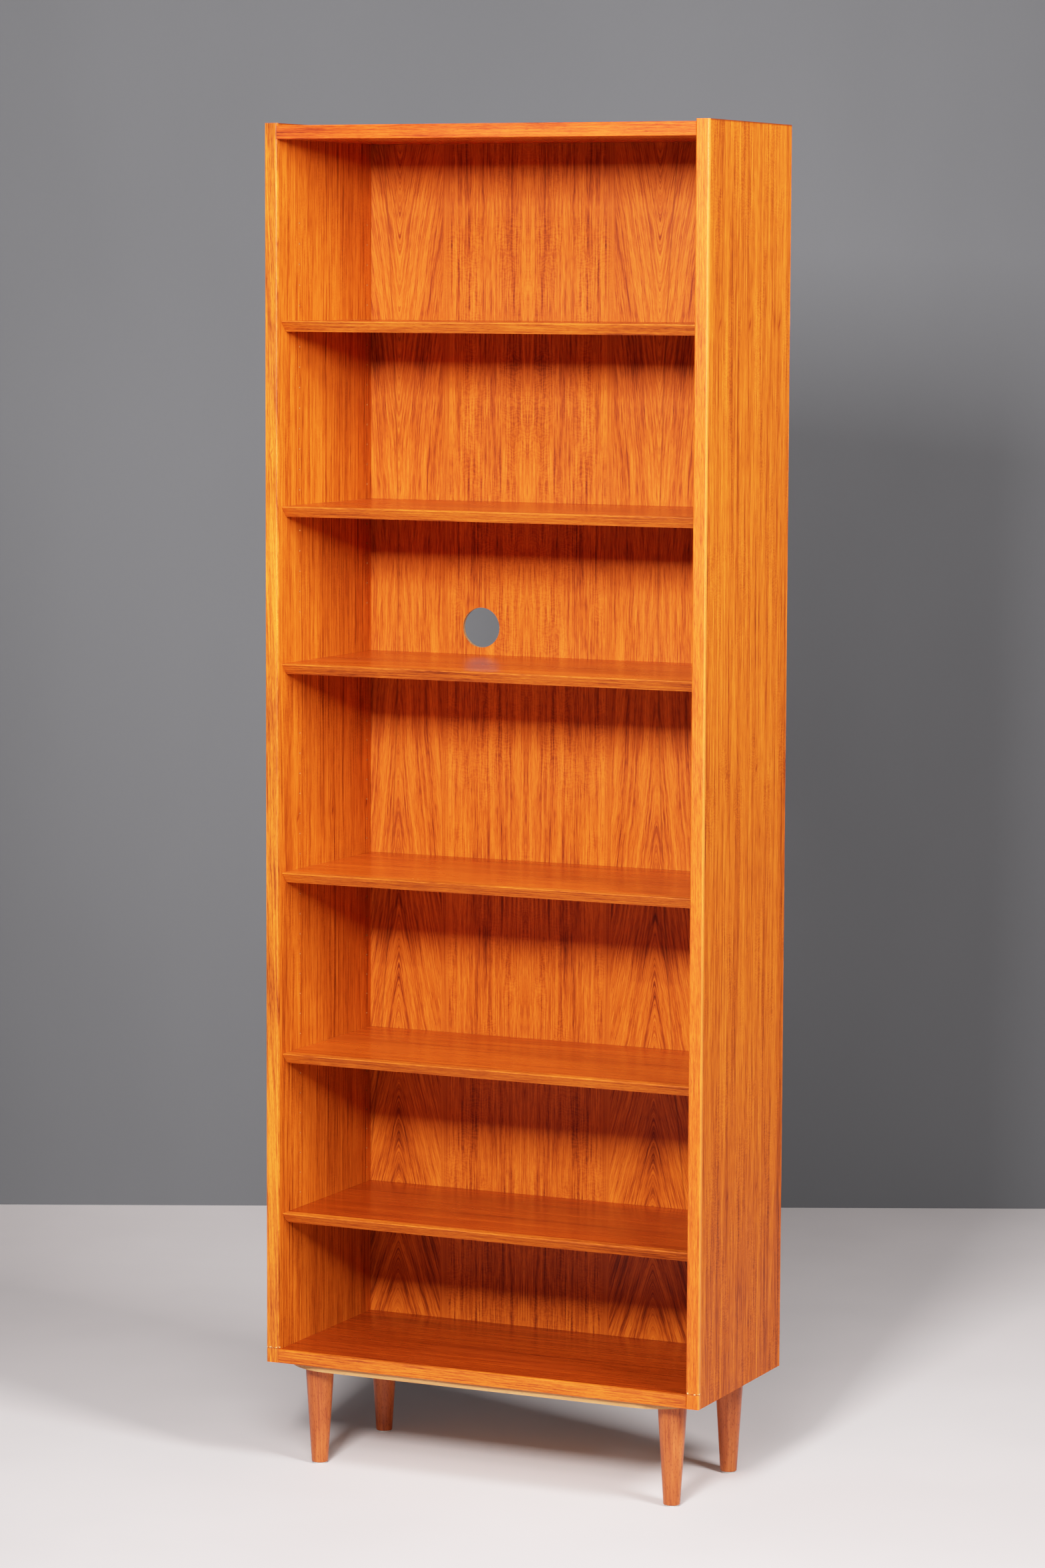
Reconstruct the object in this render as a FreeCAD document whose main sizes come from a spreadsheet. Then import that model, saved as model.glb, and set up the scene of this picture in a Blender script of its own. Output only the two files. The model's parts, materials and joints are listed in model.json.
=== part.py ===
"""Tall teak bookcase with adjustable shelves, on four turned legs.

Every piece is drawn in one bench frame: X runs along the shelves from the middle of the
carcass, Y runs back from its front edge and Z up from the lower end of its sides. The
Placement then stands the piece in the part's frame: origin on the floor under the middle
of the bookcase, +Z up, front towards -Y.
"""
import FreeCAD, Part
import os

import Sketcher
from FreeCAD import Placement, Rotation, Vector

# Driving dimensions in millimetres, heights measured from the lower end of the sides.
DIMENSIONS = {
    "carcass_width": 698,
    "carcass_depth": 310.5,
    "side_height": 1829,
    "floor_clearance": 158.4,
    "board_thickness": 19.8,
    "lipping_thickness": 6,
    "foot_lipping_height": 21.5,
    "arris_radius": 2,
    "board_arris_radius": 1,
    "top_drop": 3.5,
    "dowel_diameter": 8,
    "dowel_length": 30,
    "dowel_bite": 12,
    "dowel_gap": 0.1,
    "dowel_end_gap": 1,
    "dowel_front": 48,
    "dowel_pitch": 70,
    "dowel_count": 4,
    "back_thickness": 5.8,
    "back_gap": 0.2,
    "rebate_width": 9,
    "cable_hole_diameter": 60,
    "cable_hole_across": -143.2,
    "cable_hole_height": 1083.6,
    "row_zero": 6,
    "row_pitch": 30,
    "low_row": 7,
    "low_row_count": 25,
    "high_row": 37,
    "high_row_count": 20,
    "peg_hole_diameter": 3.2,
    "peg_hole_depth": 10,
    "front_column": 71,
    "rear_column": 291,
    "shelf_thickness": 15.6,
    "shelf_setback": 13.9,
    "shelf_lipping_depth": 16,
    "shelf_bevel_depth": 14,
    "shelf_nose": 1.6,
    "shelf_arris": 0.8,
    "shelf_end_gap": 0.5,
    "shelf_back_gap": 1,
    "fixed_shelf_height": 1035,
    "fixed_dowel_front": 65,
    "fixed_dowel_pitch": 90,
    "fixed_dowel_count": 3,
    "kerf_height": 4,
    "kerf_depth": 7.5,
    "kerf_front": 66,
    "wire_diameter": 3,
    "wire_standoff": 4,
    "wire_bend": 3,
    "wire_end_gap": 1,
    "plate_thickness": 9,
    "plate_front": 7.5,
    "plate_depth": 300,
    "plate_length": 680,
    "plate_shift": -7,
    "plate_corner": 90,
    "leg_across": 286.5,
    "leg_front": 52,
    "leg_rear": 267,
    "leg_top_diameter": 43,
    "leg_foot_diameter": 24.5,
    "leg_arris": 1,
    "glide_height": 2.4,
    "glide_arris_radius": 0.6,
    "glide_diameter": 21,
    "glide_pin_diameter": 3,
    "glide_pin_length": 14,
    "bolt_diameter": 8,
    "bolt_length": 44,
    "bolt_drop": 0.5,
    "bore_gap": 0.1,
    "bore_end_gap": 1,
    "nut_flange_diameter": 22,
    "nut_flange_height": 1.5,
    "nut_barrel_diameter": 10.5,
    "nut_barrel_length": 8,
    "screw_diameter": 3,
    "screw_head_diameter": 6,
    "back_screw_length": 18,
    "plate_screw_length": 20,
    "back_screw_inset": 4.5,
    "back_screw_start": 90,
    "back_screw_pitch": 328,
    "back_screw_count": 6,
    "back_screw_across": 210,
    "plate_screw_across": 190,
    "plate_screw_inset": 30,
}

ADJUSTABLE_ROWS = {"shelf_1": 51, "shelf_2": 42, "shelf_3": 24, "shelf_4": 15, "shelf_5": 7}

# Expressions that several pieces share.
INNER_HALF = "(Sheet.carcass_width / 2 - Sheet.board_thickness)"
SHELF_HALF = f"({INNER_HALF} - Sheet.shelf_end_gap)"
TOP_FACE = "(Sheet.side_height - Sheet.top_drop)"
BACK_FRONT = "(Sheet.carcass_depth - Sheet.back_thickness)"
REBATE_FRONT = f"({BACK_FRONT} - Sheet.back_gap)"
DOWEL_BOARD_DEPTH = "(Sheet.dowel_length - Sheet.dowel_bite + Sheet.dowel_end_gap)"
DOWEL_SIDE_DEPTH = "(Sheet.dowel_bite + Sheet.dowel_end_gap)"
DOWEL_HOLE = "(Sheet.dowel_diameter + Sheet.dowel_gap)"
SCREW_HOLE = "(Sheet.screw_diameter + Sheet.bore_gap)"
HEAD_RIM = "((Sheet.screw_head_diameter - Sheet.screw_diameter) / 2)"
LEG_TOP = "(-Sheet.plate_thickness)"
LEG_FOOT = "(Sheet.glide_height - Sheet.floor_clearance)"
NEAR = 0.05

doc = FreeCAD.newDocument("Bookcase")
sheet = doc.addObject("Spreadsheet::Sheet", "Sheet")


def fill_sheet():
    """Write each driving dimension beside its name and give the cell that name."""
    for row, (alias, value) in enumerate(DIMENSIONS.items(), start=1):
        sheet.set(f"A{row}", alias)
        sheet.set(f"B{row}", str(value))
        sheet.setAlias(f"B{row}", alias)
    doc.recompute()


def value_of(expression):
    """Return what an expression comes to now, as a plain number."""
    return float(sheet.evalExpression(expression))


# ---------------------------------------------------------------- drawing helpers

def place(item, across="0", back="0", up="0"):
    """Stand a piece in the part's frame, moved by the given expressions."""
    item.setExpression("Placement.Base.x", across)
    item.setExpression("Placement.Base.y", f"{back} - Sheet.carcass_depth / 2")
    item.setExpression("Placement.Base.z", f"{up} + Sheet.floor_clearance")


def new_body(node):
    body = doc.addObject("PartDesign::Body", node)
    body.Label = node
    place(body)
    return body


def plane_of(body, role):
    return next(item for item in body.Origin.OriginFeatures if item.Role == role)


def new_sketch(body, name, role, lift="0"):
    """Add a sketch on an origin plane, lifted along the plane's normal."""
    sketch = body.newObject("Sketcher::SketchObject", name)
    sketch.AttachmentSupport = [(plane_of(body, role), "")]
    sketch.MapMode = "FlatFace"
    sketch.setExpression("AttachmentOffset.Base.z", lift)
    return sketch


def pin_point(sketch, geometry, end, across, up):
    """Hold one point of the sketch at the given expressions."""
    for kind, expression in (("DistanceX", across), ("DistanceY", up)):
        held = Sketcher.Constraint(kind, -1, 1, geometry, end, value_of(expression))
        index = sketch.addConstraint(held)
        sketch.setExpression(f"Constraints[{index}]", expression)


def draw_outline(sketch, corners):
    """Draw a closed outline whose corners are pairs of expressions."""
    spots = [Vector(value_of(across), value_of(up), 0) for across, up in corners]
    for start, end in zip(spots, spots[1:] + spots[:1]):
        sketch.addGeometry(Part.LineSegment(start, end))
    for line, (across, up) in enumerate(corners):
        previous = (line - 1) % len(corners)
        sketch.addConstraint(Sketcher.Constraint("Coincident", previous, 2, line, 1))
        pin_point(sketch, line, 1, across, up)


def draw_rectangle(sketch, left, low, right, high):
    draw_outline(sketch, [(left, low), (right, low), (right, high), (left, high)])


def draw_circles(sketch, diameter, centres):
    """Draw equal circles centred on pairs of expressions."""
    radius = value_of(diameter) / 2
    for circle, (across, up) in enumerate(centres):
        centre = Vector(value_of(across), value_of(up), 0)
        sketch.addGeometry(Part.Circle(centre, Vector(0, 0, 1), radius))
        pin_point(sketch, circle, 3, across, up)
        index = sketch.addConstraint(Sketcher.Constraint("Diameter", circle, radius * 2))
        sketch.setExpression(f"Constraints[{index}]", diameter)


def pad(body, sketch, length, midplane=False, backwards=False):
    feature = body.newObject("PartDesign::Pad", f"{sketch.Name}_pad")
    feature.Profile = sketch
    feature.Midplane = midplane
    feature.Reversed = backwards
    feature.setExpression("Length", length)
    doc.recompute()
    return feature


def cut(body, sketch, depth, backwards=False):
    """Pocket a sketch and make sure that it took some wood away."""
    before = body.Shape.Volume
    feature = body.newObject("PartDesign::Pocket", f"{sketch.Name}_cut")
    feature.Profile = sketch
    feature.Reversed = backwards
    feature.setExpression("Length", depth)
    doc.recompute()
    if body.Shape.Volume >= before:
        raise RuntimeError(f"{sketch.Name} cuts nothing")
    return feature


def repeat(body, feature, sketch, axis, pitch, count):
    """Repeat a feature in a row along one of its sketch's axes."""
    pattern = body.newObject("PartDesign::LinearPattern", f"{feature.Name}_row")
    pattern.Originals = [feature]
    pattern.Direction = (sketch, [axis])
    pattern.setExpression("Length", f"{pitch} * ({count} - 1)")
    pattern.setExpression("Occurrences", count)
    body.Tip = pattern
    doc.recompute()
    return pattern


def mirror(body, *features):
    """Repeat features on the other side of the middle of the shelf."""
    mirrored = body.newObject("PartDesign::Mirrored", f"{features[0].Name}_mirror")
    mirrored.Originals = list(features)
    mirrored.MirrorPlane = (plane_of(body, "YZ_Plane"), [""])
    body.Tip = mirrored
    doc.recompute()
    return mirrored


def dress_edges(body, kind, wanted, size):
    """Round or chamfer the edges of the body's shape that pass a test."""
    tip = body.Tip
    names = [f"Edge{i}" for i, edge in enumerate(tip.Shape.Edges, start=1) if wanted(edge)]
    if not names:
        raise RuntimeError(f"{body.Label} has no edge to dress")
    feature = body.newObject(f"PartDesign::{kind}", f"{tip.Name}_{kind.lower()}")
    feature.Base = (tip, names)
    feature.setExpression("Radius" if kind == "Fillet" else "Size", size)
    body.Tip = feature
    doc.recompute()
    return feature


def countersink(body, on_face):
    """Flare the mouths of the screw holes whose rim passes a test."""
    hole_radius = value_of(SCREW_HOLE) / 2

    def is_mouth(edge):
        round_edge = isinstance(edge.Curve, Part.Circle)
        return round_edge and abs(edge.Curve.Radius - hole_radius) < NEAR and on_face(edge.Curve.Center)

    return dress_edges(body, "Chamfer", is_mouth, HEAD_RIM)


# ---------------------------------------------------------------- shared positions

ENDS = {"left": -1, "right": 1}
BOARD_HEIGHTS = {
    "top": (f"({TOP_FACE} - Sheet.board_thickness)", TOP_FACE),
    "bottom": ("0", "Sheet.board_thickness"),
}
BOARD_DOWELS = [
    f"Sheet.dowel_front + {i} * Sheet.dowel_pitch" for i in range(DIMENSIONS["dowel_count"])
]
FIXED_DOWELS = [
    f"Sheet.fixed_dowel_front + {i} * Sheet.fixed_dowel_pitch"
    for i in range(DIMENSIONS["fixed_dowel_count"])
]
SIDE_SCREWS = [
    f"Sheet.back_screw_start + {i} * Sheet.back_screw_pitch"
    for i in range(DIMENSIONS["back_screw_count"])
]
BOARD_SCREWS = [f"{i} * Sheet.back_screw_across" for i in (-1, 0, 1)]
LEG_SPOTS = {
    "front_left": ("-Sheet.leg_across", "Sheet.leg_front"),
    "front_right": ("Sheet.leg_across", "Sheet.leg_front"),
    "rear_left": ("-Sheet.leg_across", "Sheet.leg_rear"),
    "rear_right": ("Sheet.leg_across", "Sheet.leg_rear"),
}
PLATE_REAR = "(Sheet.plate_front + Sheet.plate_depth)"
PLATE_SCREWS = [
    (f"{i} * Sheet.plate_screw_across", back)
    for i in (-1, 0, 1)
    for back in ("Sheet.plate_front + Sheet.plate_screw_inset", f"{PLATE_REAR} - Sheet.plate_screw_inset")
]


def middle(low, high):
    return f"(({low} + {high}) / 2)"


def row_height(row):
    return f"(Sheet.row_zero + {row} * Sheet.row_pitch)"


# Dowels as (distance back, height), screws through the back as (across, height).
DOWELS = {
    "top_dowels": [(back, middle(*BOARD_HEIGHTS["top"])) for back in BOARD_DOWELS],
    "bottom_dowels": [(back, middle(*BOARD_HEIGHTS["bottom"])) for back in BOARD_DOWELS],
    "fixed_shelf_dowels": [(back, "Sheet.fixed_shelf_height") for back in FIXED_DOWELS],
}
REBATE_LINE = f"({INNER_HALF} + Sheet.back_screw_inset)"
BACK_SCREWS = {
    "left": [(f"-{REBATE_LINE}", up) for up in SIDE_SCREWS],
    "right": [(REBATE_LINE, up) for up in SIDE_SCREWS],
    "top": [(across, middle(*BOARD_HEIGHTS["top"])) for across in BOARD_SCREWS],
    "bottom": [(across, middle(*BOARD_HEIGHTS["bottom"])) for across in BOARD_SCREWS],
    "fixed": [(across, "Sheet.fixed_shelf_height") for across in (BOARD_SCREWS[0], BOARD_SCREWS[2])],
}


def drill_back_screws(body, spots):
    """Pilot holes run forward into the wood that the back panel is screwed to."""
    sketch = new_sketch(body, f"{body.Name}_pilot_holes", "XZ_Plane", f"-{REBATE_FRONT}")
    draw_circles(sketch, SCREW_HOLE, spots)
    cut(body, sketch, "Sheet.back_screw_length - Sheet.back_thickness + Sheet.bore_gap", backwards=True)


# ---------------------------------------------------------------- sides

def make_side(end):
    """A veneered side: rebated for the back and drilled for shelf wires and dowels."""
    inward = -ENDS[end]
    body = new_body(f"{end}_side_panel")
    place(body, across=f"{ENDS[end]} * Sheet.carcass_width / 2")
    face = f"({inward} * Sheet.board_thickness)"
    ledge = f"({inward} * (Sheet.board_thickness - Sheet.rebate_width))"

    plan = new_sketch(body, f"{end}_side_plan", "XY_Plane")
    draw_outline(plan, [
        ("0", "Sheet.lipping_thickness"),
        (face, "Sheet.lipping_thickness"),
        (face, REBATE_FRONT),
        (ledge, REBATE_FRONT),
        (ledge, "Sheet.carcass_depth"),
        ("0", "Sheet.carcass_depth"),
    ])
    pad(body, plan, "Sheet.side_height")

    outward_cut = inward < 0
    joints = new_sketch(body, f"{end}_side_dowel_holes", "YZ_Plane", face)
    draw_circles(joints, DOWEL_HOLE, sum(DOWELS.values(), []))
    cut(body, joints, DOWEL_SIDE_DEPTH, backwards=outward_cut)

    for name in ("low", "high"):
        height = row_height(f"Sheet.{name}_row")
        pegs = new_sketch(body, f"{end}_side_{name}_peg_holes", "YZ_Plane", face)
        columns = ("Sheet.front_column", "Sheet.rear_column")
        draw_circles(pegs, "Sheet.peg_hole_diameter", [(column, height) for column in columns])
        first = cut(body, pegs, "Sheet.peg_hole_depth", backwards=outward_cut)
        repeat(body, first, pegs, "V_Axis", "Sheet.row_pitch", f"Sheet.{name}_row_count")

    screw_line = f"{inward} * (Sheet.board_thickness - Sheet.back_screw_inset)"
    drill_back_screws(body, [(screw_line, up) for _, up in BACK_SCREWS[end]])
    return body


def make_side_lipping(end, node, low, high):
    """A solid strip on the side's front edge, its two long arrises rounded."""
    inward = -ENDS[end]
    body = new_body(node)
    place(body, across=f"{ENDS[end]} * Sheet.carcass_width / 2")
    plan = new_sketch(body, f"{node}_plan", "XY_Plane", low)
    draw_rectangle(plan, "0", "0", f"{inward} * Sheet.board_thickness", "Sheet.lipping_thickness")
    pad(body, plan, f"{high} - {low}")

    def is_front_arris(edge):
        box = edge.BoundBox
        return box.YMax < NEAR and box.ZLength > 1

    dress_edges(body, "Fillet", is_front_arris, "Sheet.arris_radius")
    return body


# ---------------------------------------------------------------- top, bottom and back

def make_board(name):
    """The top or bottom panel, dowelled between the sides."""
    low, high = BOARD_HEIGHTS[name]
    body = new_body(f"{name}_panel")
    section = new_sketch(body, f"{name}_section", "YZ_Plane")
    draw_rectangle(section, "Sheet.lipping_thickness", low, REBATE_FRONT, high)
    pad(body, section, f"2 * {INNER_HALF}", midplane=True)
    drill_dowels(body, INNER_HALF, DOWELS[f"{name}_dowels"])
    drill_back_screws(body, BACK_SCREWS[name])
    if name == "bottom":
        pilots = new_sketch(body, "plate_pilot_holes", "XY_Plane")
        draw_circles(pilots, SCREW_HOLE, PLATE_SCREWS)
        depth = "Sheet.plate_screw_length - Sheet.plate_thickness + Sheet.bore_gap"
        cut(body, pilots, depth, backwards=True)
    return body


def drill_dowels(body, end_face, spots):
    """Dowel holes in both ends of a board."""
    sketch = new_sketch(body, f"{body.Name}_dowel_holes", "YZ_Plane", end_face)
    draw_circles(sketch, DOWEL_HOLE, spots)
    mirror(body, cut(body, sketch, DOWEL_BOARD_DEPTH))


def make_board_lipping(name):
    low, high = BOARD_HEIGHTS[name]
    body = new_body(f"{name}_lipping")
    section = new_sketch(body, f"{name}_lipping_section", "YZ_Plane")
    draw_rectangle(section, "0", low, "Sheet.lipping_thickness", high)
    pad(body, section, f"2 * {INNER_HALF}", midplane=True)

    def is_front_arris(edge):
        box = edge.BoundBox
        return box.YMax < NEAR and box.XLength > 1

    dress_edges(body, "Fillet", is_front_arris, "Sheet.board_arris_radius")
    return body


def make_back():
    """The back panel lies in the sides' rebates and covers the other rear edges."""
    body = new_body("back_panel")
    half = f"({INNER_HALF} + Sheet.rebate_width - Sheet.back_gap)"
    front = f"-{BACK_FRONT}"
    outline = new_sketch(body, "back_outline", "XZ_Plane", front)
    draw_rectangle(outline, f"-{half}", "Sheet.back_gap", half, TOP_FACE)
    pad(body, outline, "Sheet.back_thickness", backwards=True)

    opening = new_sketch(body, "cable_hole", "XZ_Plane", front)
    draw_circles(opening, "Sheet.cable_hole_diameter", [("Sheet.cable_hole_across", "Sheet.cable_hole_height")])
    cut(body, opening, "Sheet.back_thickness")

    holes = new_sketch(body, "back_screw_holes", "XZ_Plane", front)
    draw_circles(holes, SCREW_HOLE, sum(BACK_SCREWS.values(), []))
    cut(body, holes, "Sheet.back_thickness")
    rear = value_of("Sheet.carcass_depth")
    countersink(body, lambda centre: abs(centre.y - rear) < NEAR)
    return body


# ---------------------------------------------------------------- shelves

def make_shelf_board(node, height, half_length, rear):
    low = f"({height} - Sheet.shelf_thickness / 2)"
    high = f"({height} + Sheet.shelf_thickness / 2)"
    front = "(Sheet.shelf_setback + Sheet.shelf_lipping_depth)"
    body = new_body(node)
    section = new_sketch(body, f"{node}_section", "YZ_Plane")
    draw_rectangle(section, front, low, rear, high)
    pad(body, section, f"2 * {half_length}", midplane=True)
    return body


def make_shelf_lipping(node, height, half_length):
    """A solid front strip, bevelled back under a narrow nose."""
    low = f"({height} - Sheet.shelf_thickness / 2)"
    high = f"({height} + Sheet.shelf_thickness / 2)"
    front = "Sheet.shelf_setback"
    joint = "(Sheet.shelf_setback + Sheet.shelf_lipping_depth)"
    body = new_body(f"{node}_lipping")
    section = new_sketch(body, f"{node}_lipping_section", "YZ_Plane")
    draw_outline(section, [
        (front, high),
        (front, f"({high} - Sheet.shelf_nose)"),
        (f"({front} + Sheet.shelf_bevel_depth)", low),
        (joint, low),
        (joint, high),
    ])
    pad(body, section, f"2 * {half_length}", midplane=True)
    top_front = value_of(front)
    top_height = value_of(high)

    def is_top_arris(edge):
        box = edge.BoundBox
        return box.XLength > 1 and abs(box.YMax - top_front) < NEAR and abs(box.ZMin - top_height) < NEAR

    dress_edges(body, "Fillet", is_top_arris, "Sheet.shelf_arris")
    return body


def make_fixed_shelf():
    height = "Sheet.fixed_shelf_height"
    body = make_shelf_board("fixed_shelf", height, INNER_HALF, REBATE_FRONT)
    drill_dowels(body, INNER_HALF, DOWELS["fixed_shelf_dowels"])
    drill_back_screws(body, BACK_SCREWS["fixed"])
    return [body, make_shelf_lipping("fixed_shelf", height, INNER_HALF)]


def make_adjustable_shelf(node, row):
    """A loose shelf: the kerf in each end slides over a wire from the back."""
    height = row_height(row)
    rear = f"({BACK_FRONT} - Sheet.shelf_back_gap)"
    body = make_shelf_board(node, height, SHELF_HALF, rear)
    kerf = new_sketch(body, f"{node}_kerf", "YZ_Plane", SHELF_HALF)
    low = f"({height} - Sheet.kerf_height / 2)"
    high = f"({height} + Sheet.kerf_height / 2)"
    draw_rectangle(kerf, "Sheet.kerf_front", low, "Sheet.carcass_depth", high)
    mirror(body, cut(body, kerf, "Sheet.kerf_depth"))
    return [body, make_shelf_lipping(node, height, SHELF_HALF)]


def draw_wire_path(sketch, inward):
    """A staple shape: a leg into each hole, joined by a run that stands off the side."""
    tip = f"(-{inward} * (Sheet.peg_hole_depth - Sheet.wire_end_gap))"
    crown = f"({inward} * Sheet.wire_standoff)"
    bend = value_of("Sheet.wire_bend")
    tip_x, crown_x = value_of(tip), value_of(crown)
    front, rear = value_of("Sheet.front_column"), value_of("Sheet.rear_column")
    corner_x = crown_x - inward * bend
    reach = Vector(inward * bend, 0, 0)
    spots = [
        (Vector(corner_x, front + bend, 0), Vector(0, -bend, 0), reach),
        (Vector(corner_x, rear - bend, 0), reach, Vector(0, bend, 0)),
    ]
    sketch.addGeometry(Part.LineSegment(Vector(tip_x, front, 0), Vector(corner_x, front, 0)))
    sketch.addGeometry(bend_arc(*spots[0]))
    sketch.addGeometry(Part.LineSegment(Vector(crown_x, front + bend, 0), Vector(crown_x, rear - bend, 0)))
    sketch.addGeometry(bend_arc(*spots[1]))
    sketch.addGeometry(Part.LineSegment(Vector(corner_x, rear, 0), Vector(tip_x, rear, 0)))
    first, last = (1, 2) if inward > 0 else (2, 1)
    for line, line_end, arc, arc_end in ((0, 2, 1, first), (2, 1, 1, last), (2, 2, 3, first), (4, 1, 3, last)):
        sketch.addConstraint(Sketcher.Constraint("Tangent", line, line_end, arc, arc_end))
    sketch.addConstraint(Sketcher.Constraint("Horizontal", 0))
    sketch.addConstraint(Sketcher.Constraint("Horizontal", 4))
    sketch.addConstraint(Sketcher.Constraint("Vertical", 2))
    pin_point(sketch, 0, 1, tip, "Sheet.front_column")
    pin_point(sketch, 4, 2, tip, "Sheet.rear_column")
    index = sketch.addConstraint(Sketcher.Constraint("DistanceX", -1, 1, 2, 1, crown_x))
    sketch.setExpression(f"Constraints[{index}]", crown)
    for arc in (1, 3):
        index = sketch.addConstraint(Sketcher.Constraint("Radius", arc, bend))
        sketch.setExpression(f"Constraints[{index}]", "Sheet.wire_bend")


def bend_arc(centre, start, end):
    halfway = (start + end).normalize() * start.Length
    return Part.Arc(centre + start, centre + halfway, centre + end)


def make_wire(node, row, end):
    """A bent wire that carries one end of a loose shelf."""
    inward = -ENDS[end]
    body = new_body(f"{node}_{end}_wire")
    place(body, across=f"{ENDS[end]} * {INNER_HALF}")
    path = new_sketch(body, f"{node}_{end}_path", "XY_Plane", row_height(row))
    draw_wire_path(path, inward)
    tip = f"-{inward} * (Sheet.peg_hole_depth - Sheet.wire_end_gap)"
    section = new_sketch(body, f"{node}_{end}_section", "YZ_Plane", tip)
    draw_circles(section, "Sheet.wire_diameter", [("Sheet.front_column", row_height(row))])
    doc.recompute()
    pipe = body.newObject("PartDesign::AdditivePipe", f"{node}_{end}_pipe")
    pipe.Profile = section
    pipe.Spine = (path, [f"Edge{i}" for i in range(1, 6)])
    doc.recompute()
    return body


# ---------------------------------------------------------------- base

def make_base_plate():
    """A plate with rounded corners that carries the legs under the bottom panel."""
    body = new_body("base_plate")
    left = "(Sheet.plate_shift - Sheet.plate_length / 2)"
    right = "(Sheet.plate_shift + Sheet.plate_length / 2)"
    outline = new_sketch(body, "plate_outline", "XY_Plane", "-Sheet.plate_thickness")
    draw_rectangle(outline, left, "Sheet.plate_front", right, PLATE_REAR)
    pad(body, outline, "Sheet.plate_thickness")
    dress_edges(body, "Fillet", lambda edge: edge.BoundBox.ZLength > 1, "Sheet.plate_corner")

    flanges = new_sketch(body, "nut_flange_seats", "XY_Plane")
    draw_circles(flanges, "Sheet.nut_flange_diameter + 2 * Sheet.bore_gap", LEG_SPOTS.values())
    cut(body, flanges, "Sheet.nut_flange_height")
    barrels = new_sketch(body, "nut_barrel_holes", "XY_Plane")
    draw_circles(barrels, "Sheet.nut_barrel_diameter + Sheet.bore_gap", LEG_SPOTS.values())
    cut(body, barrels, "Sheet.plate_thickness")
    screws = new_sketch(body, "plate_screw_holes", "XY_Plane")
    draw_circles(screws, SCREW_HOLE, PLATE_SCREWS)
    cut(body, screws, "Sheet.plate_thickness")
    under = -value_of("Sheet.plate_thickness")
    countersink(body, lambda centre: abs(centre.z - under) < NEAR)
    return body


def turn(body, name, corners):
    """Turn a solid about the Z axis from half of its section."""
    section = new_sketch(body, name, "XZ_Plane")
    draw_outline(section, corners)
    feature = body.newObject("PartDesign::Revolution", f"{name}_turned")
    feature.Profile = section
    feature.ReferenceAxis = (section, ["V_Axis"])
    feature.Angle = 360
    doc.recompute()
    return feature


def make_leg(corner):
    """A turned leg with a straight taper, bored for its bolt and its glide's pin."""
    body = new_body(f"{corner}_leg")
    place(body, *LEG_SPOTS[corner])
    turn(body, f"{corner}_leg_section", [
        ("0", LEG_FOOT),
        ("Sheet.leg_foot_diameter / 2", LEG_FOOT),
        ("Sheet.leg_top_diameter / 2", LEG_TOP),
        ("0", LEG_TOP),
    ])
    dress_edges(body, "Fillet", lambda edge: isinstance(edge.Curve, Part.Circle), "Sheet.leg_arris")
    bore = new_sketch(body, f"{corner}_bolt_bore", "XY_Plane", LEG_TOP)
    draw_circles(bore, "Sheet.bolt_diameter + Sheet.bore_gap", [("0", "0")])
    cut(body, bore, "Sheet.bolt_length - Sheet.plate_thickness + Sheet.bore_end_gap")
    pin_hole = new_sketch(body, f"{corner}_pin_hole", "XY_Plane", LEG_FOOT)
    draw_circles(pin_hole, "Sheet.glide_pin_diameter + Sheet.bore_gap", [("0", "0")])
    cut(body, pin_hole, "Sheet.glide_pin_length + Sheet.bore_end_gap", backwards=True)
    return body


def make_glide(corner):
    """A nail-on glide: a disc with a pin up into the leg."""
    body = new_body(f"{corner}_glide")
    place(body, *LEG_SPOTS[corner])
    floor = "(-Sheet.floor_clearance)"
    tip = f"({LEG_FOOT} + Sheet.glide_pin_length)"
    turn(body, f"{corner}_glide_section", [
        ("0", floor),
        ("Sheet.glide_diameter / 2", floor),
        ("Sheet.glide_diameter / 2", LEG_FOOT),
        ("Sheet.glide_pin_diameter / 2", LEG_FOOT),
        ("Sheet.glide_pin_diameter / 2", tip),
        ("0", tip),
    ])
    disc = value_of("Sheet.glide_diameter / 2")

    def is_disc_rim(edge):
        return isinstance(edge.Curve, Part.Circle) and abs(edge.Curve.Radius - disc) < NEAR

    dress_edges(body, "Fillet", is_disc_rim, "Sheet.glide_arris_radius")
    return body


# ---------------------------------------------------------------- fasteners

def primitive(kind, name, sizes, across, back, up, rotation=Rotation()):
    """Add a Part primitive in the bench frame, its sizes and place bound to the sheet."""
    item = doc.addObject(f"Part::{kind}", name)
    item.Placement = Placement(Vector(), rotation)
    for key, expression in sizes.items():
        item.setExpression(key, expression)
    for key, expression in (("x", across), ("y", back), ("z", up)):
        item.setExpression(f"Placement.Base.{key}", expression)
    return item


def group(node, items):
    """Gather identical fasteners in one node."""
    compound = doc.addObject("Part::Compound", node)
    compound.Label = node
    compound.Links = items
    place(compound)
    return compound


def make_dowels(node):
    """Dowels across both ends of one board."""
    along_x = Rotation(Vector(0, 1, 0), 90)
    sizes = {"Radius": "Sheet.dowel_diameter / 2", "Height": "Sheet.dowel_length"}
    starts = {
        "left": f"-{INNER_HALF} - Sheet.dowel_bite",
        "right": f"{INNER_HALF} + Sheet.dowel_bite - Sheet.dowel_length",
    }
    items = [
        primitive("Cylinder", f"{node}_{end}_{i}", sizes, start, back, up, along_x)
        for end, start in starts.items()
        for i, (back, up) in enumerate(DOWELS[node])
    ]
    return group(node, items)


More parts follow.
